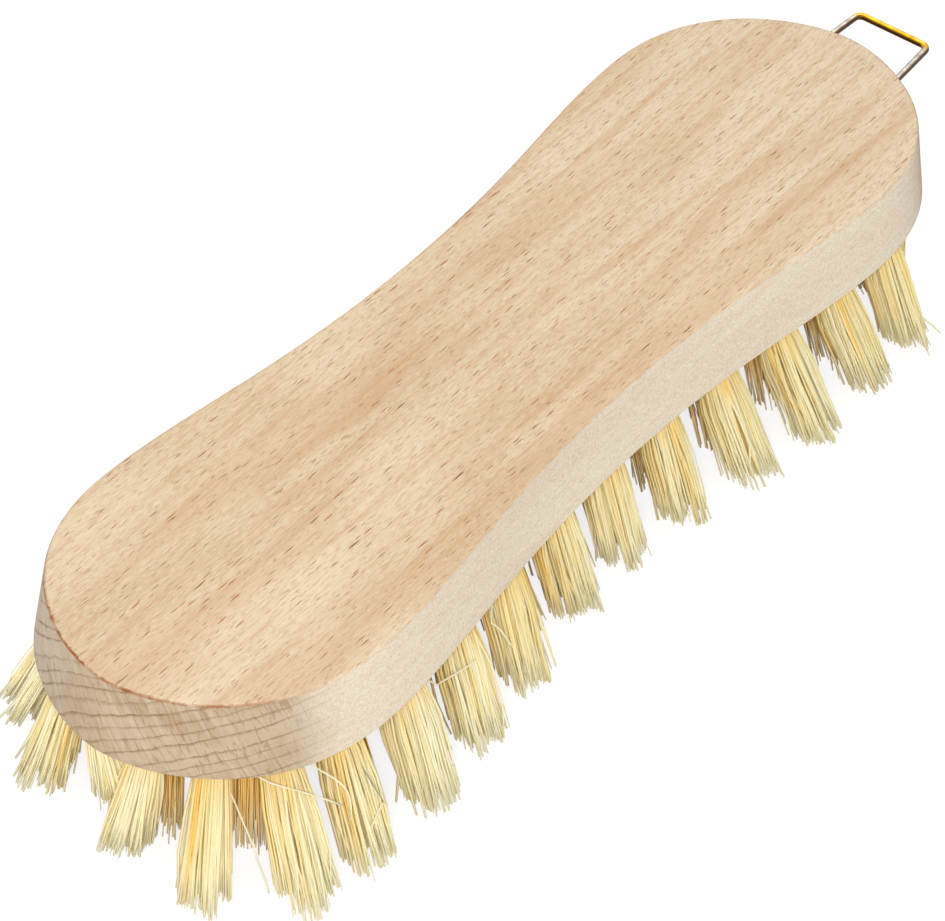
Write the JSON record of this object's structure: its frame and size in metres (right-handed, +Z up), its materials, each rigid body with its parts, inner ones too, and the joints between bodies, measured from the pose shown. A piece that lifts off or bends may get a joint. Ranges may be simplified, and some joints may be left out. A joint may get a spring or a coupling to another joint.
{
  "type": "scrub brush",
  "caption": "Hand scrub brush: a waisted hardwood block with flared tufts of stiff plant fibre below and a wire hanging loop at one end.",
  "frame": {"origin": "centre of the bounding box at the bristle tips, on the surface that the brush stands on", "axes": "+Z up, out of the block's flat top; +X along the block towards the hanging loop; +Y across it"},
  "size_m": [0.2338, 0.0781, 0.038],
  "materials": {
    "beech_wood": "sanded, unvarnished",
    "loop_wire": "brass-coloured wire, worn to grey on the legs",
    "anchor_wire": "flattened wire",
    "plant_fibre": "stiff matt plant fibre"
  },
  "bodies": {
    "root": {"brush_block": "beech_wood", "hanging_loop": "loop_wire", "tuft_anchors": "anchor_wire", "centre_tufts": "plant_fibre", "outer_tuft_01": "plant_fibre", "outer_tuft_02": "plant_fibre", "outer_tuft_03": "plant_fibre", "outer_tuft_04": "plant_fibre", "outer_tuft_05": "plant_fibre", "outer_tuft_06": "plant_fibre", "outer_tuft_07": "plant_fibre", "outer_tuft_08": "plant_fibre", "outer_tuft_09": "plant_fibre", "outer_tuft_10": "plant_fibre", "outer_tuft_11": "plant_fibre", "outer_tuft_12": "plant_fibre", "outer_tuft_13": "plant_fibre", "outer_tuft_14": "plant_fibre", "outer_tuft_15": "plant_fibre", "outer_tuft_16": "plant_fibre", "outer_tuft_17": "plant_fibre", "outer_tuft_18": "plant_fibre", "outer_tuft_19": "plant_fibre", "outer_tuft_20": "plant_fibre", "outer_tuft_21": "plant_fibre", "outer_tuft_22": "plant_fibre", "outer_tuft_23": "plant_fibre", "outer_tuft_24": "plant_fibre", "outer_tuft_25": "plant_fibre", "outer_tuft_26": "plant_fibre", "outer_tuft_27": "plant_fibre", "outer_tuft_28": "plant_fibre", "outer_tuft_29": "plant_fibre", "outer_tuft_30": "plant_fibre", "outer_tuft_31": "plant_fibre", "outer_tuft_32": "plant_fibre", "outer_tuft_33": "plant_fibre", "outer_tuft_34": "plant_fibre", "inner_tufts_01": "plant_fibre", "inner_tufts_02": "plant_fibre", "inner_tufts_03": "plant_fibre", "inner_tufts_04": "plant_fibre", "inner_tufts_05": "plant_fibre", "inner_tufts_06": "plant_fibre", "inner_tufts_07": "plant_fibre", "inner_tufts_08": "plant_fibre", "inner_tufts_09": "plant_fibre", "inner_tufts_10": "plant_fibre", "inner_tufts_11": "plant_fibre", "inner_tufts_12": "plant_fibre", "inner_tufts_13": "plant_fibre", "inner_tufts_14": "plant_fibre"}
  },
  "joints": []
}
